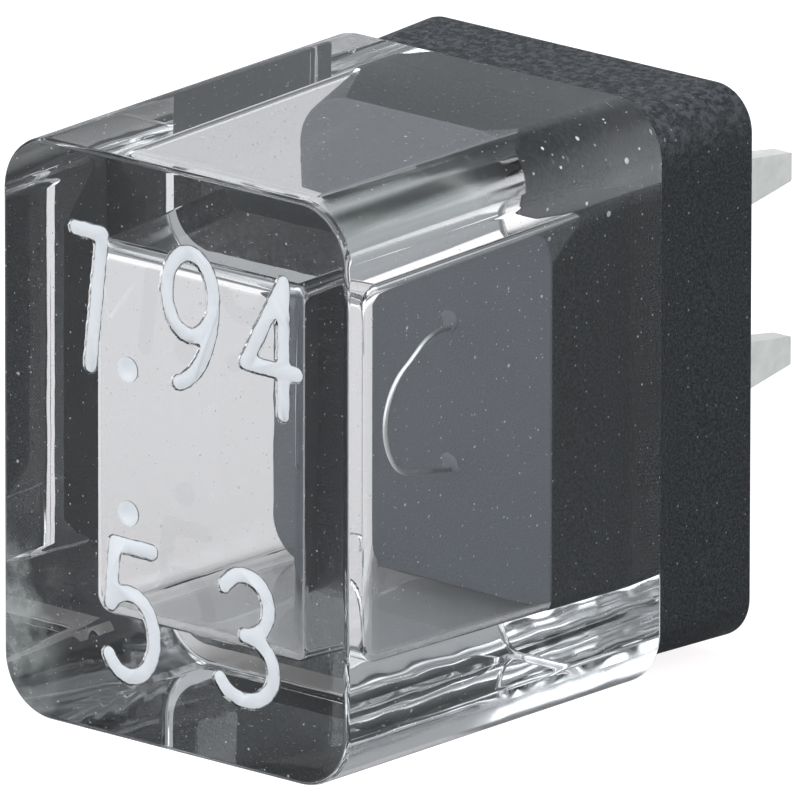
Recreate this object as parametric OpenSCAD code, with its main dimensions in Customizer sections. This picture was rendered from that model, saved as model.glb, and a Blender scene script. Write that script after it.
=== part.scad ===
// Plug-in micro fuse: a thick clear cap over a black moulded base that holds two flat blades
// and, between them, a bowed fuse wire. Millimetres, +Z up.
// The origin is the middle of the seating face, midway between the blades. The blades point
// along +Y, the marked end face of the cap looks along -Y, and the fuse lies on the cap's -Z side.

/* [Clear cap] */
// Width of the cap at its end face, along X
cap_w = 5.9; // [5:0.05:7]
// Height of the cap at its end face, along Z
cap_h = 7.9; // [7:0.05:9]
// Depth of the cap, from its end face to its open rear edge
cap_d = 6.3; // [5.5:0.05:8]
// How much wider and higher the cap is at its rear edge, its moulding draft
cap_draft = 0.1; // [0:0.01:0.2]
// Radius of the four long corners of the cap
cap_r = 0.8; // [0.4:0.05:1.2]
// Small radius round the end face and the rear edge
cap_edge_r = 0.05; // [0.02:0.01:0.1]
// Thickness of the end wall that carries the mark
end_wall = 1.08; // [0.6:0.02:1.4]

/* [Cavity] */
// Width of the cavity at its closed end
cavity_w = 3.54; // [2.8:0.02:4]
// Height of the cavity at its closed end
cavity_h = 5.1; // [4.4:0.02:6]
// How much wider and higher the cavity is at its mouth
cavity_draft = 0.29; // [0:0.01:0.4]
// Radius of the cavity's corners
cavity_r = 0.14; // [0.1:0.01:0.4]

/* [Base] */
// Thickness of the flange behind the cap
flange_t = 1.9; // [1.2:0.05:3]
// Width of the flange where it meets the cap
flange_w = 5.75; // [4.8:0.05:7]
// Height of the flange where it meets the cap
flange_h = 7.45; // [6.4:0.05:9]
// How much wider and higher the flange is at its seating face
flange_draft = 0.12; // [0:0.01:0.3]
// Radius of the four corners of the flange
flange_r = 0.6; // [0.3:0.05:1]
// Small radius round the seating face
flange_edge_r = 0.06; // [0.02:0.01:0.15]
// How far the plug of the base reaches into the cap
plug_l = 1.6; // [1:0.05:2.5]
// Gap between the plug and the cavity wall on each side
plug_gap = 0.02; // [0.01:0.01:0.06]
// Small radius round the front face of the plug
plug_edge_r = 0.04; // [0.01:0.01:0.1]
// Radius of the plug's two upper corners at its front face, which leads it into the cap
plug_lead_r = 0.68; // [0.2:0.02:1]
// Length over which those two corners come down to the cavity's corner radius
plug_lead_l = 1.2; // [0.4:0.05:1.6]

/* [Blades] */
// Distance between the two blades, centre to centre
blade_pitch = 2.54; // [2.5:0.01:2.6]
// Width of a blade, along Z
blade_w = 0.65; // [0.5:0.01:0.8]
// Thickness of a blade, along X
blade_t = 0.4; // [0.25:0.01:0.5]
// Length of a blade beyond the seating face
blade_l = 4.2; // [3:0.05:5]
// Length over which the end of a blade narrows
tip_l = 1.0; // [0.6:0.05:1.6]
// Width of a blade at its very end
tip_w = 0.4; // [0.25:0.01:0.6]
// Thickness of a blade at its very end
tip_t = 0.3; // [0.15:0.01:0.4]
// Corner radius at the end of a blade
tip_r = 0.1; // [0.04:0.01:0.14]

/* [Fuse wire] */
// Diameter of the fuse wire
wire_d = 0.07; // [0.04:0.005:0.12]
// Height of each soldered wire end above or below the middle
joint_z = 1.0; // [0.8:0.05:1.2]
// Diameter of the pocket and of the solder in it
joint_d = 0.42; // [0.3:0.02:0.5]
// Depth of the pocket in the face of the plug
pocket_t = 0.15; // [0.1:0.01:0.3]
// How far the solder stands out of the pocket
solder_crown = 0.05; // [0.02:0.01:0.1]

/* [Hidden] */
eps = 0.01;
skin = 0.001;
corner_fn = 64;
ball_fn = 32;
round_fn = 48;
edge_angles = [0, 45, 90];
tip_step = 15;

cap_rear_y = -flange_t;
cap_front_y = cap_rear_y - cap_d;
cavity_front_y = cap_front_y + end_wall;
cavity_l = cap_rear_y - cavity_front_y;
plug_front_y = cap_rear_y - plug_l;
pocket_floor_y = plug_front_y + pocket_t;
blade_z = blade_pitch / 2;

// Growth of the cavity from its closed end to a place y, by its draft
function cavity_growth(y) = cavity_draft * (y - cavity_front_y) / cavity_l;

// The fuse wire as a walk in the YZ plane, each step with its bend radius, or its length where
// it is straight, and the angle that it turns down. It leaves the upper solder, bows towards the
// end face and turns back into the lower solder.
wire_start = [plug_front_y + 0.06, 0.877];
wire_heading = -4;
wire_walk = [[0.18, 0], [0.73, 38], [0.43, 0], [0.87, 94], [0.47, 42], [0.92, 0]];
wire_sides = 12;
wire_turn = 6;

function wire_pieces(step) = step[1] == 0 ? 1 : ceil(step[1] / wire_turn);
function wire_chord(step) = step[1] == 0 ? step[0] : 2 * step[0] * sin(step[1] / wire_pieces(step) / 2);
wire_moves = [for (step = wire_walk, k = [1:wire_pieces(step)]) [wire_chord(step), step[1] / wire_pieces(step)]];

// Each place on the wire's middle line, with its heading
function wire_places(i, place, heading) = i == len(wire_moves) ? [[place, heading]] : concat(
    [[place, heading]],
    wire_places(
        i + 1,
        place - wire_moves[i][0] * [cos(heading + wire_moves[i][1] / 2), sin(heading + wire_moves[i][1] / 2)],
        heading + wire_moves[i][1]
    )
);

// Posts along Y in the corners of a w by h section. Its upper corners have radius r, and its lower
// ones too unless low_r is given.
module corner_posts(w, h, r, y, t = skin, low_r = 0) {
    for (sx = [-1, 1], sz = [-1, 1]) {
        q = sz < 0 && low_r > 0 ? low_r : r;
        translate([sx * (w / 2 - q), y, sz * (h / 2 - q)])
            rotate([-90, 0, 0])
                cylinder(r = q, h = t, $fn = corner_fn);
    }
}

// Corner posts along the rounded edge of an end face at y; inward is 1 or -1 along Y, into the body
module edge_posts(w, h, r, y, edge, inward, low_r = 0) {
    for (a = edge_angles) {
        inset = edge * (1 - sin(a));
        corner_posts(
            w - 2 * inset, h - 2 * inset, r - inset, y + inward * edge * (1 - cos(a)), low_r = low_r - inset
        );
    }
}

// Body with four rounded long corners that grows by its draft, with both its end edges eased
module drafted_body(w, h, draft, r, y0, y1, front_edge, rear_edge) {
    hull() {
        edge_posts(w, h, r, y0, front_edge, 1);
        edge_posts(w + draft, h + draft, r, y1 - skin, rear_edge, -1);
    }
}

// The hollow of the cap, with a ball in each corner of its closed end
module cavity() {
    mouth_w = cavity_w + cavity_draft;
    mouth_h = cavity_h + cavity_draft;
    hull() {
        for (sx = [-1, 1], sz = [-1, 1])
            translate([sx * (cavity_w / 2 - cavity_r), cavity_front_y + cavity_r, sz * (cavity_h / 2 - cavity_r)])
                sphere(r = cavity_r, $fn = ball_fn);
        corner_posts(mouth_w, mouth_h, cavity_r, cap_rear_y, eps);
    }
}

// Plug of the base: it follows the cavity's draft, stays clear of its walls and has its two upper
// corners eased towards its front face
module plug() {
    front = cavity_growth(plug_front_y) - 2 * plug_gap;
    lead_y = plug_front_y + plug_lead_l;
    lead = cavity_growth(lead_y) - 2 * plug_gap;
    rear = cavity_growth(cap_rear_y) - 2 * plug_gap;
    hull() {
        edge_posts(
            cavity_w + front, cavity_h + front, plug_lead_r, plug_front_y, plug_edge_r, 1, low_r = cavity_r
        );
        corner_posts(cavity_w + lead, cavity_h + lead, cavity_r, lead_y);
        corner_posts(cavity_w + rear, cavity_h + rear, cavity_r, cap_rear_y, eps);
    }
}

// Half outline of a blade in one plane, from the inner end to the rounded tip
function tip_corner(half, y) = [for (a = [90:-tip_step:0]) [y - tip_r + tip_r * cos(a), half - tip_r + tip_r * sin(a)]];
function blade_half(full, tip) = concat(
    [[pocket_floor_y, full / 2], [blade_l - tip_l, full / 2]],
    tip_corner(tip / 2, blade_l)
);
function flip(points) = [for (i = [len(points) - 1:-1:0]) [points[i][0], -points[i][1]]];

// Flat bar along Y whose end narrows, drawn in the YZ plane and given a thickness along X
module blade_bar(full, tip, thick) {
    half = blade_half(full, tip);
    translate([-thick / 2, 0, 0])
        rotate([90, 0, 90])
            linear_extrude(height = thick)
                polygon(concat(half, flip(half)));
}

// Tinned blade: narrowed in width, and also in thickness at its end
module blade(z) {
    translate([0, 0, z])
        intersection() {
            blade_bar(blade_w, tip_w, blade_t + 2 * eps);
            rotate([0, 90, 0])
                blade_bar(blade_t, tip_t, blade_w + 2 * eps);
        }
}

// Slot that a blade fills through the whole base
module blade_slot(z) {
    translate([-blade_t / 2, pocket_floor_y, z - blade_w / 2])
        cube([blade_t, -pocket_floor_y + eps, blade_w]);
}

// Round pocket in the face of the plug, down to the end of a blade
module solder_pocket(z) {
    translate([0, plug_front_y - eps, z])
        rotate([-90, 0, 0])
            cylinder(d = joint_d, h = pocket_t + eps, $fn = round_fn);
}

// Solder that fills the pocket and crowns over its mouth
module solder(z) {
    dome_r = (joint_d * joint_d / 4 + solder_crown * solder_crown) / (2 * solder_crown);
    translate([0, pocket_floor_y, z])
        rotate([90, 0, 0]) {
            cylinder(d = joint_d, h = pocket_t, $fn = round_fn);
            intersection() {
                translate([0, 0, pocket_t + solder_crown - dome_r])
                    sphere(r = dome_r, $fn = round_fn);
                translate([0, 0, pocket_t / 2])
                    cylinder(d = joint_d, h = pocket_t, $fn = round_fn);
            }
        }
}

// Round wire swept along its places, with a closed disc at each end
module wire_sweep(places) {
    rings = [for (q = places, k = [0:wire_sides - 1])
        let (a = 360 * k / wire_sides, across = wire_d / 2 * sin(a))
            [wire_d / 2 * cos(a), q[0][0] - across * sin(q[1]), q[0][1] + across * cos(q[1])]];
    last = (len(places) - 1) * wire_sides;
    sides = [for (i = [0:len(places) - 2], k = [0:wire_sides - 1])
        let (m = i * wire_sides, n = (k + 1) % wire_sides)
            [m + k, m + n, m + wire_sides + n, m + wire_sides + k]];
    start_disc = [for (k = [wire_sides - 1:-1:0]) k];
    end_disc = [for (k = [0:wire_sides - 1]) last + k];
    polyhedron(points = rings, faces = concat(sides, [start_disc, end_disc]));
}

module clear_cap() {
    color([0.86, 0.88, 0.88, 0.35])
        difference() {
            drafted_body(cap_w, cap_h, cap_draft, cap_r, cap_front_y, cap_rear_y, cap_edge_r, cap_edge_r);
            cavity();
        }
}

module base() {
    color([0.13, 0.13, 0.14])
        difference() {
            union() {
                drafted_body(flange_w, flange_h, flange_draft, flange_r, cap_rear_y, 0, skin, flange_edge_r);
                plug();
            }
            for (s = [-1, 1]) {
                blade_slot(s * blade_z);
                solder_pocket(s * joint_z);
            }
        }
}

module upper_blade() {
    color([0.78, 0.79, 0.76])
        blade(blade_z);
}

module lower_blade() {
    color([0.78, 0.79, 0.76])
        blade(-blade_z);
}

module fuse_wire() {
    color([0.85, 0.85, 0.84])
        wire_sweep(wire_places(0, wire_start, wire_heading));
}

module upper_solder() {
    color([0.55, 0.56, 0.57])
        difference() {
            solder(joint_z);
            fuse_wire();
        }
}

module lower_solder() {
    color([0.55, 0.56, 0.57])
        difference() {
            solder(-joint_z);
            fuse_wire();
        }
}

clear_cap();
base();
upper_blade();
lower_blade();
fuse_wire();
upper_solder();
lower_solder();
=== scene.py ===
"""Looks of a plug-in micro fuse: clear cap, black moulded base, tinned blades, fuse wire and print.

The end face of the cap looks along -Y, the blades point along +Y and the fuse lies on its -Z side.
Sizes are given in millimetres and turned into metres by mm().
"""
import math
import random

import bpy
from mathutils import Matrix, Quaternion, Vector


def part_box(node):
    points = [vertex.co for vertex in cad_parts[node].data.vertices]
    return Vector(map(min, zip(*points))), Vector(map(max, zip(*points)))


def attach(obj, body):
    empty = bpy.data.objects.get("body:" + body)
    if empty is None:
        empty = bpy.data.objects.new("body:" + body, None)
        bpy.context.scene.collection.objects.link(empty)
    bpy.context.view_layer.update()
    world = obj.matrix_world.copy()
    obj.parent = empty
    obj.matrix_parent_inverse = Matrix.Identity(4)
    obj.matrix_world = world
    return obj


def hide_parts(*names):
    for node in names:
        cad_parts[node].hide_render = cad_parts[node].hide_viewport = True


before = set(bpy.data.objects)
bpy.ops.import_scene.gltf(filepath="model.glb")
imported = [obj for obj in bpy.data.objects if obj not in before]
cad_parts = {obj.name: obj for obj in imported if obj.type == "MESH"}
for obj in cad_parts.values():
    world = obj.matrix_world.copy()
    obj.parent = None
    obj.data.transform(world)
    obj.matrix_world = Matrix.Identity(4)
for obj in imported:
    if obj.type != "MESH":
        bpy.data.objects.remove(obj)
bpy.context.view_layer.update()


def mm(value):
    """Millimetres to metres."""
    return value * 0.001


# The clear cap
CAP_LOW, CAP_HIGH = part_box("clear_cap")
CAP_DRAFT = mm(0.1)
CAP_CORNER_R = mm(0.8)
CAP_CORNER_STEPS = 24
CAP_RIM_R = mm(0.07)
END_WALL = mm(1.05)
JOINT_GAP = mm(0.004)

# The cavity of the cap, which widens towards its mouth; the rims of its closed end are rounded at
# the sides by one radius, and above and below by a larger one, whose shares are the steps
CAVITY_W = mm(3.54)
CAVITY_X = mm(-0.06)
CAVITY_H = mm(5.1)
CAVITY_DRAFT = mm(0.29)
CAVITY_R = mm(0.19)
CAVITY_CORNER_STEPS = 8
CAVITY_RIM_R = mm(0.13)
CAVITY_END_R = mm(0.28)
CAVITY_END_STEPS = (0, 0.01, 0.03, 0.06, 0.1, 0.15, 0.22, 0.31, 0.4, 0.5, 0.65, 0.8, 1)
CUTTER_PAST_MOUTH = mm(0.3)

# The black base: a flange behind the cap and a plug in its mouth; the plug's corner radii are listed
# from the upper +X corner round to the lower +X one
BASE_LOW, BASE_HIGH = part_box("base")
FLANGE_FRONT_Y = CAP_HIGH.y
FLANGE_DRAFT = mm(0.12)
FLANGE_CORNER_R = mm(0.6)
FLANGE_CORNER_STEPS = 16
FLANGE_RIM_R = mm(0.06)
PLUG_FRONT_Y = BASE_LOW.y
PLUG_GRIP = mm(0.002)
PLUG_FRONT_R = (mm(0.68), mm(0.95), mm(0.6), CAVITY_R)
PLUG_LEAD_R = (mm(0.22), mm(0.6), mm(0.3), CAVITY_R)
PLUG_LEAD_L = mm(0.55)
PLUG_EASED_L = mm(1.2)
PLUG_IN_FLANGE = mm(0.3)
PLUG_CORNER_STEPS = 12
PLUG_RIM_R = mm(0.04)
PLUG_RIM_STEPS = 3

# Facets of a rounded rim, and how close counts as the same place
RIM_STEPS = 4
NEAR = mm(0.001)
NEAR_END = mm(0.01)

# The sharpest smooth edge in degrees, and the weight of large faces in the shading of rounded edges
SMOOTH_ANGLE = 40
PRINT_SMOOTH_ANGLE = 50
FLAT_WEIGHT = 100

# The solder lumps: name, height above the middle and seed, and how swellings shape them
SOLDERS = [("upper_solder", mm(0.98), 3), ("lower_solder", mm(-0.98), 8)]
SOLDER_R = mm(0.13)
SOLDER_FLAT = 0.22
SOLDER_FACETS = 4
SOLDER_SOFTENED = (0.5, 4)
SWELLINGS = 5
SWELLING_FORWARD = -0.3
SWELLING_REACH = 0.45
SWELLING_GROWTH = (1.25, 1.2, 1.25)

# The digits on the end face, in millimetres: lower left corner, width and height of each middle line.
# Strokes are bars of round section with ends rounded in steps of so many degrees, and a slab is cut
# from them for the ink and one for its grooves
DIGITS = [
    ("7", -1.70, 1.02, 0.46, 1.82),
    ("9", -0.14, 1.07, 0.80, 1.80),
    ("4", 1.21, 1.0, 0.87, 1.77),
    ("5", -1.15, -3.08, 0.80, 1.77),
    ("3", 0.78, -3.0, 0.92, 1.70),
]
GROOVE_R = 0.125
STROKE_R = 0.112
STROKE_END_STEPS = 5
STROKE_END_TURN = 17.5
STROKE_FACETS = 4
SLAB_HALF = 0.05
SLAB_VOXEL = 0.026
SLAB_SOFTENED = {"factor": 0.6, "iterations": 5}
SLAB_LUMP = 0.12
SLAB_UNEVEN = 0.03
GROOVE_T = mm(0.045)
INK_T = mm(0.025)
INK_GAP = mm(0.001)

# The two points beside the digits; their ring and dish are shares of their radius and thickness
POINTS = [(-0.78, 1.10), (-0.77, -0.85)]
POINT_R = mm(0.17)
POINT_T = mm(0.02)
POINT_GAP = mm(0.001)
POINT_SIDES = 48
POINT_RIM = 0.3
POINT_RING = 0.12
POINT_DISH = 0.4

# Noise in the materials: scale per metre, detail and roughness
STREAKS_NOISE = (2600, 1)
LUMPS_NOISE = (1100, 1)
SMEARS_NOISE = (1500, 4, 0.65)
GRAIN_NOISE = (26000, 3, 0.65)
TOP_MOTTLE_NOISE = (9000, 3, 0.6)
PATCHES_NOISE = (3500, 4, 0.6)
TIN_NOISE = (20000, 2)
DRAWN_NOISE = (30000, 2)
INK_TONE_NOISE = (9000, 3)
INK_GRAIN_NOISE = (14000,)

# Specks: cells per metre, largest radius, share of cells that hold one, and a seed that moves them
FINE_DUST = (4500, mm(0.014), 0.4, 0.11)
COARSE_DUST = (1500, mm(0.024), 0.35, 0.53)
GRIT = (2600, mm(0.042), 0.5, 0.87)
BASE_SPECKS = (5200, mm(0.016), 0.4, 0.29)
SEED_SLANT = 0.37

# Specks lie flat on each side that the surface faces this squarely, shifted by this from side to side
SIDE_FACING = 0.7
SIDE_SHIFT = 0.013

# The clear plastic; a fade has the two places along X, Y or Z between which a mask changes
IOR = 1.54
EDGE_ROUGHNESS = 0.2
CLEARER_EDGE = 0.6
ROUNDED_FACING = (0.96, 0.995)
UNEVEN_FLAT = 0.02
UNEVEN_EDGE = 0.5
UNEVEN_T = mm(0.035)
STREAK_STRETCH = (1, 0.06, 1)
LUMPS_FADE_Z = (0, mm(1), 2.6, 0.4)
OUTER_FADE_X = (mm(2.08), mm(2.14))
OUTER_FADE_Z = (mm(2.8), mm(2.95))
RIM_FADE_Y = (CAP_LOW.y + CAP_RIM_R, CAP_LOW.y + CAP_RIM_R + mm(0.03))
UPPER_FADE_Z = (mm(2.5), mm(2.9))
LOWER_FADE_Z = (mm(-2.9), mm(-2.5))
LEFT_FADE_X = (mm(-1.5), mm(0))
REAR_FADE_Y = (mm(-5.6), mm(-4.8))
GRIT_FADE_X = (mm(2), mm(2.3))
GRIT_FADE_Y = (mm(-4.6), mm(-4.1))
SMEAR_FADE_X = (mm(-2.5), mm(-1.8))
SMEAR_FADE_Y = (CAP_LOW.y + mm(0.05), CAP_LOW.y + mm(0.15))
SMEAR_FADE_Z = (mm(-1.9), mm(-1.3))
DUST_COLOUR = (0.79, 0.82, 0.79, 1)
DUST_COVER = 0.5
GRIT_COVER = 0.9
HAZE_COVER = (0.42, 0.58, 0.05, 0.43)
SMEAR_COVER = (0.4, 0.64, 0, 0.36)

# The black plastic: its dark and light grain, the same grain paler on the face of the plug as painted light,
# pale mottling on its top that is partly dust and partly painted light, and its specks
BLACK_ROUGHNESS = 0.42
BLACK_SPECULAR = 0.5
GRAIN_T = mm(0.02)
GRAIN_STRENGTH = 0.8
BLACK_GRAIN_RANGE = (0.4, 0.66)
BLACK_GRAIN = ((0.007, 0.0078, 0.0088), (0.049, 0.0535, 0.0585))
# Painted light: the plug's face has a paler grain than the rest of the black plastic
FACE_PAINTED_LIGHT_GRAIN = ((0.071, 0.077, 0.087), (0.117, 0.128, 0.144))
FACE_PAINTED_LIGHT_FADE_Y = (PLUG_FRONT_Y + mm(0.01), PLUG_FRONT_Y + mm(0.03))
# Pale mottling towards the top of the flange: partly dust, partly painted light on the top
TOP_MOTTLE_RANGE = (0.46, 0.6)
TOP_DUST_AND_LIGHT_FADE_Z = (mm(2.9), mm(3.7))
TOP_DUST_AND_LIGHT_COVER = 0.75
TOP_DUST_AND_LIGHT_COLOUR = (0.1, 0.102, 0.112)
SPECK_COLOUR = (0.24, 0.25, 0.26)

# Tin and solder: colour, roughness and how metallic; their dull patches are darker and rougher
TIN = ((0.99, 0.98, 0.92), 0.42, 0.12)
SOLDER = ((0.2, 0.21, 0.23), 0.55, 0.5)
DULL_SHARE = 0.85
DULL_ROUGHER = 0.1
PATCHES_RANGE = (0.3, 0.7)
METAL_GRAIN_T = mm(0.003)
METAL_GRAIN_STRENGTH = 0.5

# The wire, darker and rougher near the plug and bright along its bow
WIRE_DULL = (0.26, 0.27, 0.28)
WIRE_BRIGHT = (0.95, 0.95, 0.93)
WIRE_FADE_Y = (PLUG_FRONT_Y - mm(0.75), PLUG_FRONT_Y - mm(0.35), 1, 0.1)
WIRE_ROUGHNESS = (0.6, 0.3)

# The white ink: its tones, and the painted shade on its sloping sides
INK_TONES = ((0.9, 0.92, 0.94), (0.97, 0.98, 0.985))
INK_SIDE_PAINTED_SHADE = (0.2, 0.21, 0.23)
INK_PAINTED_SHADE_FACING = (-0.97, -0.84)
INK_ROUGHNESS = 0.42
INK_GRAIN_T = mm(0.004)

# The camera: the direction it looks from in degrees, what it looks at and how far away it stands;
# Blender takes the sensor's width in millimetres
CAMERA_AZIMUTH = 40.44
CAMERA_ELEVATION = 16.84
CAMERA_ROLL = -0.09
CAMERA_TARGET = Vector((mm(0.355), mm(-4.1), mm(-0.03)))
CAMERA_DISTANCE = mm(400)
CAMERA_NEAR = mm(10)
CAMERA_FAR = mm(10000)
IMAGE_SIDE = 800
PIXELS_PER_METRE = 76572
SENSOR = 36

# The floor, darker on the right; its glow is seen only by the camera and through the clear plastic, where it
# is painted light, kept dim near the fuse as a painted shadow and brighter far away
FLOOR_SIZE = mm(2000)
FLOOR_MIDDLE = (0, mm(-4.1), 0)
FLOOR_RIGHT = (0.3, 0.3, 0.3)
FLOOR_LEFT = (0.445, 0.435, 0.435)
FLOOR_LEFT_X = (mm(-4), mm(6))
FLOOR_PAINTED_SHADOW_NEAR = (mm(0.5), mm(5.5), 0, 0.32)
FLOOR_PAINTED_LIGHT_FAR = (mm(28), mm(45), 0, 0.42)
FLOOR_GLOW = (1, 0.965, 0.975, 1)
FLOOR_WHITE = 0.9

# The world: its colour, its level strength and the strength that the camera sees. Its soft lights have a
# direction, a full and a fading half angle in degrees, and a strength, which takes light away below zero
WORLD_COLOUR = (0.95, 1.0, 1.045, 1)
WORLD_LEVEL = 0.2
WORLD_WHITE = 1.0
WORLD_PANELS = [
    ((-0.62, 0.73, 0.29), 10, 27, 0.2),
    ((-0.47, 0.66, 0.6), 5, 13, -0.14),
    ((-0.43, -0.8, 0.42), 20, 45, 1.8),
    ((0.0, 0.0, 1.0), 20, 45, 1.1),
    ((0.85, 0.0, 0.5), 14, 40, 1.8),
    ((0.31, 0.93, 0.17), 12, 28, 0.4),
]

# How often light is followed through the plastic and off its walls
BOUNCES = 24
GLOSSY_BOUNCES = 12


def deselect():
    """Nothing is selected, in object mode."""
    bpy.ops.object.select_all(action="DESELECT")


def only(piece):
    """This piece alone is selected and active."""
    deselect()
    piece.select_set(True)
    bpy.context.view_layer.objects.active = piece


def select_parts(piece, kind, test):
    """In edit mode, selects the vertices, edges or faces whose middle point passes the test."""
    only(piece)
    mesh = piece.data
    bpy.ops.object.mode_set(mode="EDIT")
    bpy.ops.mesh.select_mode(type=kind)
    bpy.ops.mesh.select_all(action="DESELECT")
    bpy.ops.object.mode_set(mode="OBJECT")
    parts = {"VERT": mesh.vertices, "EDGE": mesh.edges, "FACE": mesh.polygons}[kind]
    for part in parts:
        if kind == "VERT":
            part.select = test(part.co)
        elif kind == "EDGE":
            a, b = (mesh.vertices[i].co for i in part.vertices)
            part.select = test(a, b)
        else:
            part.select = test(part)
    bpy.ops.object.mode_set(mode="EDIT")


def finish_edit():
    """Back to object mode."""
    bpy.ops.object.mode_set(mode="OBJECT")


def section(y, width, height, corners, segments):
    """A rectangle across Y as an open outline; corners are upper +X, upper -X, lower -X and lower +X."""
    deselect()
    bpy.ops.mesh.primitive_plane_add(size=1, location=(0, y, 0), rotation=(math.pi / 2, 0, 0))
    piece = bpy.context.object
    bpy.ops.transform.resize(value=(width, 1, height))
    bpy.ops.object.transform_apply(location=True, rotation=True, scale=True)
    for radius, x, z in zip(corners, (1, -1, -1, 1), (1, 1, -1, -1)):
        corner = Vector((x * width / 2, y, z * height / 2))
        select_parts(piece, "VERT", lambda co: (co - corner).length < NEAR)
        bpy.ops.mesh.bevel(offset=radius, segments=segments, affect="VERTICES")
        finish_edit()
    select_parts(piece, "FACE", lambda face: True)
    bpy.ops.mesh.delete(type="ONLY_FACE")
    finish_edit()
    return piece


def loft(name, sections, segments):
    """A closed body through sections along Y: place, width, height and the four corner radii."""
    outlines = [section(*values, segments) for values in sections]
    only(outlines[0])
    for outline in outlines:
        outline.select_set(True)
    bpy.ops.object.join()
    piece = bpy.context.object
    piece.name = piece.data.name = name
    select_parts(piece, "EDGE", lambda a, b: True)
    bpy.ops.mesh.bridge_edge_loops()
    finish_edit()
    for y in (sections[0][0], sections[-1][0]):
        select_parts(piece, "EDGE", lambda a, b: max(abs(a.y - y), abs(b.y - y)) < NEAR)
        bpy.ops.mesh.edge_face_add()
        finish_edit()
    select_parts(piece, "VERT", lambda co: True)
    bpy.ops.mesh.normals_make_consistent(inside=False)
    finish_edit()
    return piece


def round_end(piece, y, radius, segments=RIM_STEPS):
    """Rounds the rim of the end at y."""
    select_parts(piece, "EDGE", lambda a, b: max(abs(a.y - y), abs(b.y - y)) < NEAR_END)
    bpy.ops.mesh.bevel(offset=radius, segments=segments, affect="EDGES")
    finish_edit()


def drafted_block(name, width, height, draft, y0, y1, corner_r, segments):
    """A block along Y that is width by height at y0 and grows by its draft towards y1."""
    corners = (corner_r,) * 4
    return loft(name, [(y0, width, height, corners), (y1, width + draft, height + draft, corners)], segments)


def combine(piece, other, operation):
    """Joins or cuts with another closed piece, which is used up."""
    only(piece)
    step = piece.modifiers.new("combine", "BOOLEAN")
    step.operation = operation
    step.solver = "EXACT"
    step.object = other
    bpy.ops.object.modifier_apply(modifier=step.name)
    bpy.data.objects.remove(other)


def smooth_with_flat_faces(piece, angle=SMOOTH_ANGLE):
    """Smooth rounded edges that leave the flat faces truly flat."""
    only(piece)
    bpy.ops.object.shade_smooth_by_angle(angle=math.radians(angle))
    step = piece.modifiers.new("flat faces", "WEIGHTED_NORMAL")
    step.keep_sharp = True
    step.weight = FLAT_WEIGHT
    bpy.ops.object.modifier_apply(modifier=step.name)


def give(piece, material):
    """One material for the whole piece."""
    piece.data.materials.clear()
    piece.data.materials.append(material)


def put_on(piece, slot, *nodes):
    """The piece rides on the fuse and may stand for CAD nodes; its slot is not used."""
    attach(piece, "root")
    if nodes:
        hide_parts(*nodes)


def new_material(name):
    """An empty node material with its output; returns both."""
    material = bpy.data.materials.new(name)
    material.use_nodes = True
    tree = material.node_tree
    tree.nodes.clear()
    output = tree.nodes.new("ShaderNodeOutputMaterial")
    return material, tree, output


def object_point(tree):
    """The place on the object, in metres."""
    return tree.nodes.new("ShaderNodeTexCoord").outputs["Object"]


def object_facing(tree):
    """The way that the surface faces on the object."""
    return tree.nodes.new("ShaderNodeTexCoord").outputs["Normal"]


def axes_of(tree, vector):
    """The X, Y and Z of a vector."""
    node = tree.nodes.new("ShaderNodeSeparateXYZ")
    tree.links.new(vector, node.inputs[0])
    return node.outputs


def vector_node(tree, operation, vector, other):
    """A vector math node; returns its outputs, Vector and Value."""
    node = tree.nodes.new("ShaderNodeVectorMath")
    node.operation = operation
    tree.links.new(vector, node.inputs[0])
    node.inputs[1].default_value = other
    return node.outputs


def arc(centre, radii, start, end, steps):
    """Points along part of an ellipse, between two angles in degrees."""
    points = []
    for i in range(steps + 1):
        angle = math.radians(start + (end - start) * i / steps)
        points.append((centre[0] + radii[0] * math.cos(angle), centre[1] + radii[1] * math.sin(angle)))
    return points


def digit_lines(digit, w, h):
    """The strokes of a digit, as the middle lines of a pen, in a box w by h."""
    if digit == "7":
        return [[(0, h), (w, h)], [(w, h), (w * 0.55, 0)]]
    if digit == "9":
        loop = arc((w / 2, h * 0.69), (w / 2, h * 0.31), 0, 360, 30)
        stem = arc((w * 0.1, h * 0.69), (w * 0.9, h * 0.69), 0, -80, 14)
        return [loop, stem]
    if digit == "4":
        stem, bar = w * 0.74, h * 0.33
        return [[(stem, 0), (stem, h)], [(stem, h), (0, bar)], [(0, bar), (w, bar)]]
    if digit == "5":
        bowl = arc((w * 0.46, h * 0.32), (w * 0.54, h * 0.32), 138, -145, 24)
        return [[(w * 0.94, h), (w * 0.14, h)], [(w * 0.14, h), bowl[0]], bowl]
    upper = arc((w * 0.46, h * 0.76), (w * 0.44, h * 0.24), 150, -90, 18)
    lower = arc((w * 0.46, h * 0.26), (w * 0.54, h * 0.26), 90, -150, 22)
    return [upper, lower]


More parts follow.
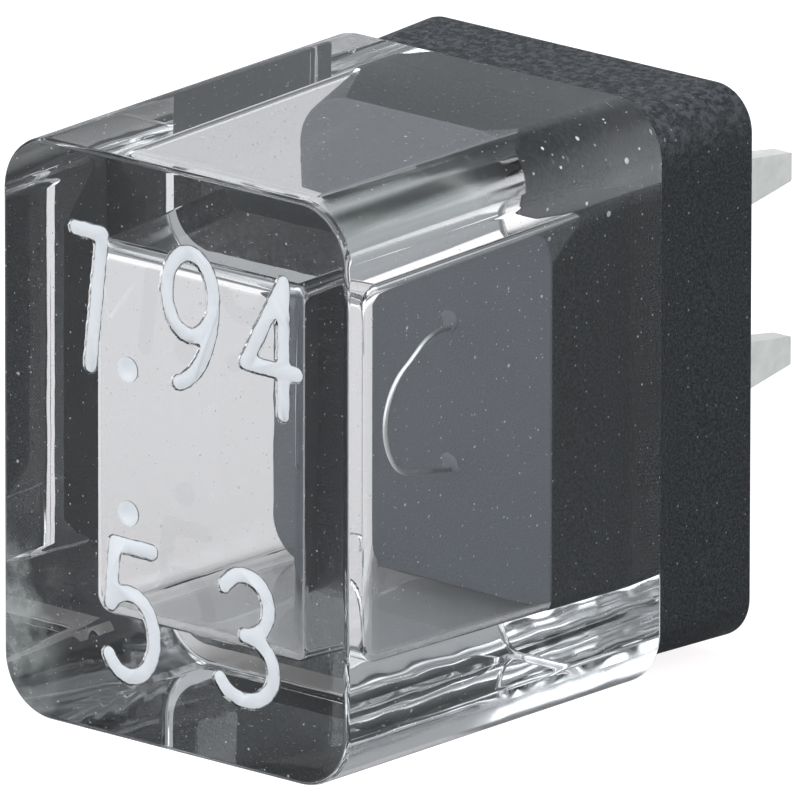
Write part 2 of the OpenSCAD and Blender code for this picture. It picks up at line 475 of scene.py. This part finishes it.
def draw_line(name, points, radius):
    """A bar of round section along a line of points, with round ends."""
    path = [(Vector(point), 1.0) for point in points]
    for end, inner in ((0, 1), (-1, -2)):
        tip = Vector(points[end])
        way = (tip - Vector(points[inner])).normalized()
        for step in range(1, STROKE_END_STEPS + 1):
            angle = math.radians(STROKE_END_TURN * step)
            extra = (tip + way * radius * math.sin(angle), math.cos(angle))
            path.insert(0 if end == 0 else len(path), extra)
    curve = bpy.data.curves.new(name, "CURVE")
    curve.dimensions = "3D"
    curve.bevel_depth = radius
    curve.bevel_resolution = STROKE_FACETS
    curve.use_fill_caps = True
    spline = curve.splines.new("POLY")
    spline.points.add(len(path) - 1)
    for point, (place, width) in zip(spline.points, path):
        point.co = (*place, 1)
        point.radius = width
    piece = bpy.data.objects.new(name, curve)
    bpy.context.collection.objects.link(piece)
    only(piece)
    bpy.ops.object.convert(target="MESH")
    return piece


def join(name, pieces):
    """Several meshes become one piece."""
    only(pieces[0])
    for piece in pieces:
        piece.select_set(True)
    bpy.ops.object.join()
    joined = bpy.context.object
    joined.name = joined.data.name = name
    return joined


def print_slab(name, radius, low, high):
    """The digits as a flat slab between two depths; modelled in millimetres, then scaled."""
    strokes = []
    for digit, x, z, w, h in DIGITS:
        for line in digit_lines(digit, w, h):
            strokes.append(draw_line("stroke", [(x + a, 0, z + b) for a, b in line], radius))
    slab = join(name, strokes)
    bpy.ops.object.transform_apply(location=True, rotation=True, scale=True)
    uneven = bpy.data.textures.new(name + "_uneven", "CLOUDS")
    uneven.noise_scale = SLAB_LUMP
    for kind, values in (
        ("REMESH", {"mode": "VOXEL", "voxel_size": SLAB_VOXEL, "use_smooth_shade": True}),
        ("SMOOTH", SLAB_SOFTENED),
        ("DISPLACE", {"texture": uneven, "strength": SLAB_UNEVEN, "texture_coords": "LOCAL"}),
    ):
        step = slab.modifiers.new(kind.lower(), kind)
        for key, value in values.items():
            setattr(step, key, value)
        bpy.ops.object.modifier_apply(modifier=step.name)
    for side in (-1, 1):
        select_parts(slab, "VERT", lambda co: True)
        bpy.ops.mesh.bisect(
            plane_co=(0, side * SLAB_HALF, 0), plane_no=(0, side, 0), use_fill=True, clear_outer=True)
        finish_edit()
    select_parts(slab, "VERT", lambda co: True)
    thinner = (high - low) / (2 * SLAB_HALF)
    bpy.ops.transform.resize(value=(mm(1), thinner, mm(1)), center_override=(0, 0, 0))
    bpy.ops.transform.translate(value=(0, (low + high) / 2, 0))
    finish_edit()
    return slab


def ink_point(x, z):
    """A round drop of ink with a raised ring, just off the end face."""
    deselect()
    place = (mm(x), CAP_LOW.y - POINT_T / 2 - POINT_GAP, mm(z))
    bpy.ops.mesh.primitive_cylinder_add(
        vertices=POINT_SIDES, radius=POINT_R, depth=POINT_T, location=place, rotation=(math.pi / 2, 0, 0))
    drop = bpy.context.object
    bpy.ops.object.transform_apply(location=True, rotation=True, scale=True)
    front = CAP_LOW.y - POINT_GAP - POINT_T
    select_parts(drop, "FACE", lambda face: abs(face.center.y - front) < NEAR)
    bpy.ops.mesh.inset(thickness=POINT_R * POINT_RIM)
    bpy.ops.mesh.inset(thickness=POINT_R * POINT_RING)
    bpy.ops.transform.translate(value=(0, POINT_T * POINT_DISH, 0))
    finish_edit()
    return drop


def make_print():
    """Plain digits in white ink that lies in shallow grooves of the end face, and raised points."""
    floor = CAP_LOW.y + GROOVE_T - INK_GAP
    digits = print_slab("print", STROKE_R, floor - INK_T, floor)
    ink = join("print", [digits] + [ink_point(x, z) for x, z in POINTS])
    smooth_with_flat_faces(ink, PRINT_SMOOTH_ANGLE)
    give(ink, white_ink())
    put_on(ink, None)


def math_node(tree, operation, *values):
    """A math node with numbers or links as its inputs; returns its output."""
    node = tree.nodes.new("ShaderNodeMath")
    node.operation = operation
    for place, value in enumerate(values):
        if isinstance(value, (int, float)):
            node.inputs[place].default_value = value
        else:
            tree.links.new(value, node.inputs[place])
    return node.outputs[0]


def times(tree, *values):
    """The product of numbers or links."""
    product = values[0]
    for value in values[1:]:
        product = math_node(tree, "MULTIPLY", product, value)
    return product


def noise_node(tree, point, scale, detail=2.0, roughness=0.5):
    """Soft noise of about 0 to 1, with its scale per metre."""
    node = tree.nodes.new("ShaderNodeTexNoise")
    tree.links.new(point, node.inputs["Vector"])
    node.inputs["Scale"].default_value = scale
    node.inputs["Detail"].default_value = detail
    node.inputs["Roughness"].default_value = roughness
    return node.outputs["Fac"]


def ramp_node(tree, value, low, high, out_low=0.0, out_high=1.0, shape="LINEAR"):
    """Maps low..high onto out_low..out_high, held at both ends."""
    node = tree.nodes.new("ShaderNodeMapRange")
    node.interpolation_type = shape
    tree.links.new(value, node.inputs["Value"])
    for name, number in (("From Min", low), ("From Max", high), ("To Min", out_low), ("To Max", out_high)):
        node.inputs[name].default_value = number
    return node.outputs[0]


def blend_node(tree, amount, first, second):
    """Blends two colours; each is a colour or a link."""
    node = tree.nodes.new("ShaderNodeMix")
    node.data_type = "RGBA"
    tree.links.new(amount, node.inputs["Factor"])
    for place, colour in ((6, first), (7, second)):
        if isinstance(colour, tuple):
            node.inputs[place].default_value = (*colour, 1)
        else:
            tree.links.new(colour, node.inputs[place])
    return node.outputs[2]


def blend_value(tree, amount, first, second):
    """Mixes two values by an amount of 0 to 1."""
    kept = times(tree, first, math_node(tree, "SUBTRACT", 1, amount))
    return math_node(tree, "ADD", kept, times(tree, second, amount))


def bump_node(tree, height, distance, strength=1.0):
    """A fine relief of this height, as a normal."""
    node = tree.nodes.new("ShaderNodeBump")
    tree.links.new(height, node.inputs["Height"])
    node.inputs["Distance"].default_value = distance
    node.inputs["Strength"].default_value = strength
    return node.outputs["Normal"]


def surface_point(tree):
    """A flat pattern place on each side of a boxy piece, and how squarely the surface faces an axis."""
    place = axes_of(tree, object_point(tree))
    facing = axes_of(tree, object_facing(tree))
    turned = [math_node(tree, "ABSOLUTE", facing[i]) for i in range(3)]
    square = math_node(tree, "MAXIMUM", math_node(tree, "MAXIMUM", turned[0], turned[1]), turned[2])
    both = []
    for axis, side in ((0, turned[0]), (2, turned[2])):
        swap = math_node(tree, "GREATER_THAN", side, SIDE_FACING)
        kept = times(tree, place[axis], math_node(tree, "SUBTRACT", 1, swap))
        other = times(tree, place[1], swap)
        shift = times(tree, math_node(tree, "ROUND", facing[axis]), SIDE_SHIFT * (axis + 1))
        both.append(math_node(tree, "ADD", math_node(tree, "ADD", kept, other), shift))
    pattern = tree.nodes.new("ShaderNodeCombineXYZ")
    tree.links.new(both[0], pattern.inputs[0])
    tree.links.new(both[1], pattern.inputs[1])
    return pattern.outputs[0], square


def specks_node(tree, point, per_metre, radius, share, seed):
    """A mask of small round specks: the share of cells that hold one, and its largest radius."""
    shifted = vector_node(tree, "ADD", point, (seed, seed * SEED_SLANT, 0))["Vector"]
    cells = tree.nodes.new("ShaderNodeTexVoronoi")
    cells.voronoi_dimensions = "2D"
    tree.links.new(shifted, cells.inputs["Vector"])
    cells.inputs["Scale"].default_value = per_metre
    draw = tree.nodes.new("ShaderNodeSeparateColor")
    tree.links.new(cells.outputs["Color"], draw.inputs[0])
    reach = ramp_node(tree, draw.outputs[0], 1 - share, 1, 0, radius * per_metre)
    return math_node(tree, "LESS_THAN", cells.outputs["Distance"], reach)


def white_ink():
    """White ink with a soft unevenness, and painted shade where its sides slope away."""
    material, tree, output = new_material("ink")
    point = object_point(tree)
    shader = tree.nodes.new("ShaderNodeBsdfPrincipled")
    # Painted shade: the ink turns dark where its surface turns away from the front
    flatness = ramp_node(tree, axes_of(tree, object_facing(tree))[1], *INK_PAINTED_SHADE_FACING, 1, 0)
    tone = blend_node(tree, noise_node(tree, point, *INK_TONE_NOISE), *INK_TONES)
    tree.links.new(blend_node(tree, flatness, INK_SIDE_PAINTED_SHADE, tone), shader.inputs["Base Color"])
    shader.inputs["Roughness"].default_value = INK_ROUGHNESS
    grain = noise_node(tree, point, *INK_GRAIN_NOISE)
    tree.links.new(bump_node(tree, grain, INK_GRAIN_T), shader.inputs["Normal"])
    tree.links.new(shader.outputs[0], output.inputs["Surface"])
    return material


def clear_unevenness(tree, point, height, rear, rounded):
    """The moulding's own unevenness, most of it on rounded edges: drawn streaks, and lumps at the rear."""
    drawn = vector_node(tree, "MULTIPLY", point, STREAK_STRETCH)["Vector"]
    streaks = noise_node(tree, drawn, *STREAKS_NOISE)
    lumps = times(tree, noise_node(tree, point, *LUMPS_NOISE), ramp_node(tree, height, *LUMPS_FADE_Z))
    uneven = blend_value(tree, rear, streaks, lumps)
    amount = math_node(tree, "ADD", UNEVEN_FLAT, times(tree, rounded, UNEVEN_EDGE))
    return streaks, bump_node(tree, times(tree, uneven, amount), UNEVEN_T)


def cap_masks(tree, square, place):
    """Masks of the cap: its rounded outer edges, its rear and its upper part."""
    aside = ramp_node(tree, math_node(tree, "ABSOLUTE", place[0]), *OUTER_FADE_X)
    above = ramp_node(tree, math_node(tree, "ABSOLUTE", place[2]), *OUTER_FADE_Z)
    outer = times(tree, math_node(tree, "MAXIMUM", aside, above), ramp_node(tree, place[1], *RIM_FADE_Y))
    rounded = times(tree, ramp_node(tree, square, *ROUNDED_FACING, 1, 0), outer)
    return rounded, ramp_node(tree, place[1], *REAR_FADE_Y), ramp_node(tree, place[2], *UPPER_FADE_Z)


def edge_roughness(tree, place, rounded, rear, upper):
    """The roughness of rounded edges, which is less at the lower left and at the upper rear."""
    left = ramp_node(tree, place[0], *LEFT_FADE_X, 1, 0)
    lower_left = times(tree, left, ramp_node(tree, place[2], *LOWER_FADE_Z, 1, 0))
    clearer = math_node(tree, "MAXIMUM", lower_left, times(tree, rear, upper))
    worn = math_node(tree, "SUBTRACT", 1, times(tree, clearer, CLEARER_EDGE))
    return times(tree, rounded, worn, EDGE_ROUGHNESS)


def dust_cover(tree, pattern, place, upper):
    """How much dust covers the cap: fine and coarse specks, and grit at its upper right near the rear."""
    fine = specks_node(tree, pattern, *FINE_DUST)
    coarse = specks_node(tree, pattern, *COARSE_DUST)
    aside = ramp_node(tree, place[0], *GRIT_FADE_X)
    corner = times(tree, aside, upper, ramp_node(tree, place[1], *GRIT_FADE_Y))
    grit = times(tree, specks_node(tree, pattern, *GRIT), corner, GRIT_COVER)
    dots = times(tree, math_node(tree, "MAXIMUM", fine, coarse), DUST_COVER)
    return math_node(tree, "MAXIMUM", dots, grit)


def smear_cover(tree, point, place):
    """How much a smear covers the lower left of the end face."""
    cover = ramp_node(tree, noise_node(tree, point, *SMEARS_NOISE), *SMEAR_COVER)
    for side, fade in zip(place, (SMEAR_FADE_X, SMEAR_FADE_Y, SMEAR_FADE_Z)):
        cover = times(tree, cover, ramp_node(tree, side, *fade, 1, 0))
    return cover


def clear_plastic():
    """Clear moulded plastic: polished flats, softer and hazy edges, a little dust and a smeared corner."""
    material, tree, output = new_material("clear_plastic")
    pattern, square = surface_point(tree)
    point = object_point(tree)
    place = axes_of(tree, point)
    rounded, rear, upper = cap_masks(tree, square, place)
    shader = tree.nodes.new("ShaderNodeBsdfPrincipled")
    shader.inputs["Base Color"].default_value = (1, 1, 1, 1)
    shader.inputs["Transmission Weight"].default_value = 1
    shader.inputs["IOR"].default_value = IOR
    tree.links.new(edge_roughness(tree, place, rounded, rear, upper), shader.inputs["Roughness"])
    streaks, normal = clear_unevenness(tree, point, place[2], rear, rounded)
    tree.links.new(normal, shader.inputs["Normal"])

    hazy = times(tree, upper, rounded, ramp_node(tree, rear, 0, 1, 1, 0))
    haze = times(tree, hazy, ramp_node(tree, streaks, *HAZE_COVER))
    cover = math_node(tree, "MAXIMUM", haze, smear_cover(tree, point, place))
    cover = math_node(tree, "MAXIMUM", dust_cover(tree, pattern, place, upper), cover)
    dust = tree.nodes.new("ShaderNodeBsdfDiffuse")
    dust.inputs["Color"].default_value = DUST_COLOUR
    dusty = tree.nodes.new("ShaderNodeMixShader")
    tree.links.new(cover, dusty.inputs["Fac"])
    tree.links.new(shader.outputs[0], dusty.inputs[1])
    tree.links.new(dust.outputs[0], dusty.inputs[2])
    tree.links.new(dusty.outputs[0], output.inputs["Surface"])
    return material


def black_plastic():
    """Black moulded plastic with a fine grain, pale specks and a paler mottled top, partly dust and partly
    painted light; the plug's face is paler by painted light.
    """
    material, tree, output = new_material("black_plastic")
    point = object_point(tree)
    pattern = surface_point(tree)[0]
    place = axes_of(tree, point)
    shader = tree.nodes.new("ShaderNodeBsdfPrincipled")
    # Painted light: the face of the plug takes the paler grain
    face = ramp_node(tree, place[1], *FACE_PAINTED_LIGHT_FADE_Y, 1, 0)
    grain = noise_node(tree, point, *GRAIN_NOISE)
    dark = blend_node(tree, ramp_node(tree, grain, *BLACK_GRAIN_RANGE), *BLACK_GRAIN)
    body = blend_node(tree, face, dark, blend_node(tree, grain, *FACE_PAINTED_LIGHT_GRAIN))
    # Painted light on the top, with dust: pale mottling that fades in towards the flange's top
    top_mottle = ramp_node(tree, noise_node(tree, point, *TOP_MOTTLE_NOISE), *TOP_MOTTLE_RANGE)
    top_dust_and_light = times(tree, ramp_node(tree, place[2], *TOP_DUST_AND_LIGHT_FADE_Z, 0, TOP_DUST_AND_LIGHT_COVER), top_mottle)
    body = blend_node(tree, top_dust_and_light, body, TOP_DUST_AND_LIGHT_COLOUR)
    specks = specks_node(tree, pattern, *BASE_SPECKS)
    tree.links.new(blend_node(tree, specks, body, SPECK_COLOUR), shader.inputs["Base Color"])
    shader.inputs["Roughness"].default_value = BLACK_ROUGHNESS
    shader.inputs["Specular IOR Level"].default_value = BLACK_SPECULAR
    tree.links.new(bump_node(tree, grain, GRAIN_T, GRAIN_STRENGTH), shader.inputs["Normal"])
    tree.links.new(shader.outputs[0], output.inputs["Surface"])
    return material


def metal(name, colour, roughness, metallic):
    """Plated metal with dull patches; what isn't metallic in it is a matte skin."""
    material, tree, output = new_material(name)
    point = object_point(tree)
    shader = tree.nodes.new("ShaderNodeBsdfPrincipled")
    dull = tuple(part * DULL_SHARE for part in colour)
    patches = ramp_node(tree, noise_node(tree, point, *PATCHES_NOISE), *PATCHES_RANGE)
    tree.links.new(blend_node(tree, patches, dull, colour), shader.inputs["Base Color"])
    shader.inputs["Metallic"].default_value = metallic
    rough = ramp_node(tree, patches, 0, 1, roughness + DULL_ROUGHER, roughness)
    tree.links.new(rough, shader.inputs["Roughness"])
    grain = noise_node(tree, point, *TIN_NOISE)
    tree.links.new(bump_node(tree, grain, METAL_GRAIN_T, METAL_GRAIN_STRENGTH), shader.inputs["Normal"])
    tree.links.new(shader.outputs[0], output.inputs["Surface"])
    return material


def cavity_growth(y):
    """How much wider and higher the cavity is at a place y than at its closed end."""
    closed_end = CAP_LOW.y + END_WALL
    return CAVITY_DRAFT * (y - closed_end) / (CAP_HIGH.y - closed_end)


def rim_loss(radius, depth):
    """How far a rounded rim stands in from its side at a depth behind the closed end."""
    if depth >= radius:
        return 0
    return radius - math.sqrt(radius ** 2 - (radius - depth) ** 2)


def move_to_cavity(piece):
    """Moves a piece across to the middle of the cavity."""
    only(piece)
    bpy.ops.transform.translate(value=(CAVITY_X, 0, 0))
    bpy.ops.object.transform_apply(location=True, rotation=True, scale=True)


def make_cavity():
    """The hollow of the cap, carried past its mouth to cut it open."""
    cavity_front = CAP_LOW.y + END_WALL
    hollow = []
    for step in CAVITY_END_STEPS:
        y = cavity_front + CAVITY_END_R * step
        growth = cavity_growth(y)
        wide = CAVITY_W + growth - 2 * rim_loss(CAVITY_RIM_R, y - cavity_front)
        high = CAVITY_H + growth - 2 * rim_loss(CAVITY_END_R, y - cavity_front)
        hollow.append((y, wide, high, (CAVITY_R,) * 4))
    hollow.append((CAP_HIGH.y, CAVITY_W + CAVITY_DRAFT, CAVITY_H + CAVITY_DRAFT, (CAVITY_R,) * 4))
    cutter = loft("cavity", hollow, CAVITY_CORNER_STEPS)
    move_to_cavity(cutter)
    select_parts(cutter, "VERT", lambda co: co.y > CAP_HIGH.y - NEAR)
    bpy.ops.transform.translate(value=(0, CUTTER_PAST_MOUTH, 0))
    finish_edit()
    return cutter


def make_grooves():
    """The digits as a slab that cuts their grooves, in triangles so that every face is flat."""
    grooves = print_slab("grooves", GROOVE_R, CAP_LOW.y - GROOVE_T, CAP_LOW.y + GROOVE_T)
    select_parts(grooves, "FACE", lambda face: True)
    bpy.ops.mesh.quads_convert_to_tris()
    finish_edit()
    return grooves


def make_cap():
    """The clear cap: a drafted block, hollowed by its cavity and grooved for the print."""
    width = CAP_HIGH.x - CAP_LOW.x - CAP_DRAFT
    height = CAP_HIGH.z - CAP_LOW.z - CAP_DRAFT
    front, rear = CAP_LOW.y, CAP_HIGH.y - JOINT_GAP
    cap = drafted_block(
        "clear_cap_shell", width, height, CAP_DRAFT, front, rear, CAP_CORNER_R, CAP_CORNER_STEPS)
    round_end(cap, front, CAP_RIM_R)
    round_end(cap, rear, CAP_RIM_R)
    combine(cap, make_cavity(), "DIFFERENCE")
    combine(cap, make_grooves(), "DIFFERENCE")
    smooth_with_flat_faces(cap)
    give(cap, clear_plastic())
    put_on(cap, "clear_plastic", "clear_cap")


def make_plug():
    """The plug of the base, which eases into the cap's mouth and fills it."""
    plug_size = []
    for y, corners in (
        (PLUG_FRONT_Y, PLUG_FRONT_R),
        (PLUG_FRONT_Y + PLUG_LEAD_L, PLUG_LEAD_R),
        (PLUG_FRONT_Y + PLUG_EASED_L, (CAVITY_R,) * 4),
        (FLANGE_FRONT_Y + PLUG_IN_FLANGE, (CAVITY_R,) * 4),
    ):
        growth = cavity_growth(y) + 2 * PLUG_GRIP
        plug_size.append((y, CAVITY_W + growth, CAVITY_H + growth, corners))
    plug = loft("plug", plug_size, PLUG_CORNER_STEPS)
    round_end(plug, PLUG_FRONT_Y, PLUG_RIM_R, PLUG_RIM_STEPS)
    move_to_cavity(plug)
    return plug


def make_base():
    """The black base in one piece: a flange with the plug in front of it."""
    width = BASE_HIGH.x - BASE_LOW.x - FLANGE_DRAFT
    height = BASE_HIGH.z - BASE_LOW.z - FLANGE_DRAFT
    front, rear = FLANGE_FRONT_Y, BASE_HIGH.y
    base = drafted_block(
        "moulded_base", width, height, FLANGE_DRAFT, front, rear, FLANGE_CORNER_R, FLANGE_CORNER_STEPS)
    round_end(base, rear, FLANGE_RIM_R)
    combine(base, make_plug(), "UNION")
    smooth_with_flat_faces(base)
    give(base, black_plastic())
    put_on(base, "black_plastic", "base")


def make_solder(name, z, seed):
    """A low lump of solder where the wire enters the plug."""
    deselect()
    place = (0, PLUG_FRONT_Y, z)
    bpy.ops.mesh.primitive_ico_sphere_add(subdivisions=SOLDER_FACETS, radius=SOLDER_R, location=place)
    lump = bpy.context.object
    lump.name = lump.data.name = name + "_lump"
    select_parts(lump, "VERT", lambda co: True)
    bpy.ops.transform.resize(value=(1, SOLDER_FLAT, 1), center_override=place)
    finish_edit()
    rng = random.Random(seed)
    for _ in range(SWELLINGS):
        way = Vector((rng.uniform(-1, 1), SWELLING_FORWARD, rng.uniform(-1, 1))).normalized() * SOLDER_R
        select_parts(lump, "VERT", lambda co: (co - way).length < SOLDER_R * SWELLING_REACH)
        bpy.ops.transform.resize(value=SWELLING_GROWTH, center_override=place)
        finish_edit()
    bpy.ops.object.transform_apply(location=True, rotation=True, scale=True)
    step = lump.modifiers.new("soften", "SMOOTH")
    step.factor, step.iterations = SOLDER_SOFTENED
    only(lump)
    bpy.ops.object.modifier_apply(modifier=step.name)
    bpy.ops.object.shade_smooth()
    return lump


def make_solders():
    """The two solder lumps at the ends of the wire."""
    solder = metal("solder_metal", *SOLDER)
    for name, z, seed in SOLDERS:
        lump = make_solder(name, z, seed)
        give(lump, solder)
        put_on(lump, "solder_metal", name)


def wire_metal():
    """Bright along the bow of the wire, darker and rougher near the plug."""
    material, tree, output = new_material("wire_metal")
    point = object_point(tree)
    # Darker and rougher towards the plug's face, bright further out along the bow
    along_bow = ramp_node(tree, axes_of(tree, point)[1], *WIRE_FADE_Y)
    shader = tree.nodes.new("ShaderNodeBsdfPrincipled")
    tree.links.new(blend_node(tree, along_bow, WIRE_DULL, WIRE_BRIGHT), shader.inputs["Base Color"])
    shader.inputs["Metallic"].default_value = 1
    tree.links.new(ramp_node(tree, along_bow, 0, 1, *WIRE_ROUGHNESS), shader.inputs["Roughness"])
    drawn = noise_node(tree, point, *DRAWN_NOISE)
    tree.links.new(bump_node(tree, drawn, METAL_GRAIN_T, METAL_GRAIN_STRENGTH), shader.inputs["Normal"])
    tree.links.new(shader.outputs[0], output.inputs["Surface"])
    return material


def dress_nodes():
    """Finishes for the blades and the wire, which keep their own solids."""
    tin = metal("tinned_metal", *TIN)
    for name in ("upper_blade", "lower_blade"):
        give(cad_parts[name], tin)
    give(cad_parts["fuse_wire"], wire_metal())


def make_camera():
    """The camera of the main view."""
    azimuth, elevation = math.radians(CAMERA_AZIMUTH), math.radians(CAMERA_ELEVATION)
    back = Vector((
        math.sin(azimuth) * math.cos(elevation),
        -math.cos(azimuth) * math.cos(elevation),
        math.sin(elevation),
    ))
    deselect()
    bpy.ops.object.camera_add(location=CAMERA_TARGET + back * CAMERA_DISTANCE)
    camera = bpy.context.object
    turn = Quaternion(-back, math.radians(CAMERA_ROLL)) @ (-back).to_track_quat("-Z", "Y")
    camera.rotation_euler = turn.to_euler()
    camera.data.sensor_width = SENSOR
    camera.data.lens = PIXELS_PER_METRE * CAMERA_DISTANCE / IMAGE_SIDE * SENSOR
    camera.data.clip_start = CAMERA_NEAR
    camera.data.clip_end = CAMERA_FAR
    bpy.context.scene.camera = camera


def floor_material():
    """Plain and pale; its glow through the plastic is painted light that grows in two steps away from the
    fuse, leaving a painted shadow near it.
    """
    material, tree, output = new_material("floor")
    paths = tree.nodes.new("ShaderNodeLightPath").outputs
    left = ramp_node(tree, axes_of(tree, object_point(tree))[0], *FLOOR_LEFT_X, 1, 0)
    diffuse = tree.nodes.new("ShaderNodeBsdfDiffuse")
    tree.links.new(blend_node(tree, left, FLOOR_RIGHT, FLOOR_LEFT), diffuse.inputs["Color"])
    away = vector_node(tree, "DISTANCE", object_point(tree), FLOOR_MIDDLE)["Value"]
    # Painted light and shadow through the plastic: no glow near the fuse, more glow far from it
    painted_glow = math_node(tree, "ADD", ramp_node(tree, away, *FLOOR_PAINTED_SHADOW_NEAR), ramp_node(tree, away, *FLOOR_PAINTED_LIGHT_FAR))
    through = times(tree, paths["Is Transmission Ray"], times(tree, left, painted_glow))
    glow = tree.nodes.new("ShaderNodeEmission")
    glow.inputs["Color"].default_value = FLOOR_GLOW
    strength = math_node(tree, "ADD", through, times(tree, paths["Is Camera Ray"], FLOOR_WHITE))
    tree.links.new(strength, glow.inputs["Strength"])
    both = tree.nodes.new("ShaderNodeAddShader")
    tree.links.new(diffuse.outputs[0], both.inputs[0])
    tree.links.new(glow.outputs[0], both.inputs[1])
    tree.links.new(both.outputs[0], output.inputs["Surface"])
    return material


def make_floor():
    """The floor under the fuse."""
    deselect()
    bpy.ops.mesh.primitive_plane_add(size=FLOOR_SIZE, location=(0, 0, CAP_LOW.z))
    floor = bpy.context.object
    floor.name = "floor"
    give(floor, floor_material())


def make_light():
    """The pale world that lights the fuse."""
    world = bpy.data.worlds.new("studio")
    bpy.context.scene.world = world
    world.use_nodes = True
    tree = world.node_tree
    background = tree.nodes["Background"]
    background.inputs["Color"].default_value = WORLD_COLOUR
    direction = tree.nodes.new("ShaderNodeTexCoord").outputs["Generated"]
    total = WORLD_LEVEL
    for aim, inner, outer, strength in WORLD_PANELS:
        towards = vector_node(tree, "DOT_PRODUCT", direction, Vector(aim).normalized())["Value"]
        faded, full = math.cos(math.radians(outer)), math.cos(math.radians(inner))
        panel = ramp_node(tree, towards, faded, full, 0, strength, "SMOOTHSTEP")
        total = math_node(tree, "ADD", panel, total)
    seen = tree.nodes.new("ShaderNodeLightPath").outputs["Is Camera Ray"]
    tree.links.new(blend_value(tree, seen, total, WORLD_WHITE), background.inputs["Strength"])


def set_render():
    """Plain display colours, and how long light is followed."""
    bpy.context.scene.view_settings.view_transform = "Standard"
    cycles = bpy.context.scene.cycles
    cycles.max_bounces = BOUNCES
    cycles.transmission_bounces = BOUNCES
    cycles.glossy_bounces = GLOSSY_BOUNCES
    cycles.blur_glossy = 0


make_camera()
make_cap()
make_base()
make_print()
make_solders()
dress_nodes()
make_floor()
make_light()
set_render()
